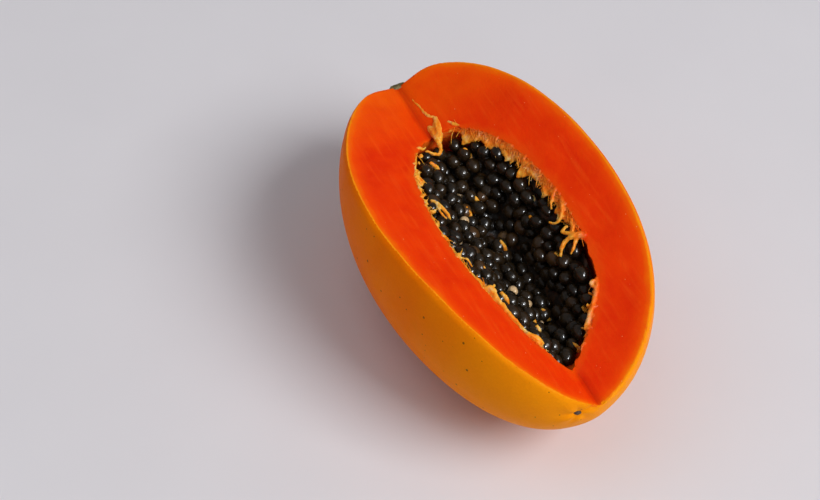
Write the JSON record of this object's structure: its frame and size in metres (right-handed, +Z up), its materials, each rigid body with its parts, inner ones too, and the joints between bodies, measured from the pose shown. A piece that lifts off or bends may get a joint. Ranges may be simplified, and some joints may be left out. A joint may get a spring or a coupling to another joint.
{
  "type": "papaya half",
  "caption": "Half of a ripe papaya cut lengthwise: orange skin, thick red-orange flesh cut to a shallow crease, and a pointed hollow full of dark seeds.",
  "frame": {"origin": "on the ground, under the middle of the half's outer box, inside the flat spot it rests on", "axes": "+X along the fruit towards the blossom end, +Z up out of the cut"},
  "size_m": [0.172, 0.1044, 0.0725],
  "materials": {
    "flesh_and_skin": "moist, half gloss",
    "seeds": "wet, glossy"
  },
  "bodies": {
    "root": {"fruit_half": "flesh_and_skin", "seed_mass": "seeds"}
  },
  "joints": []
}
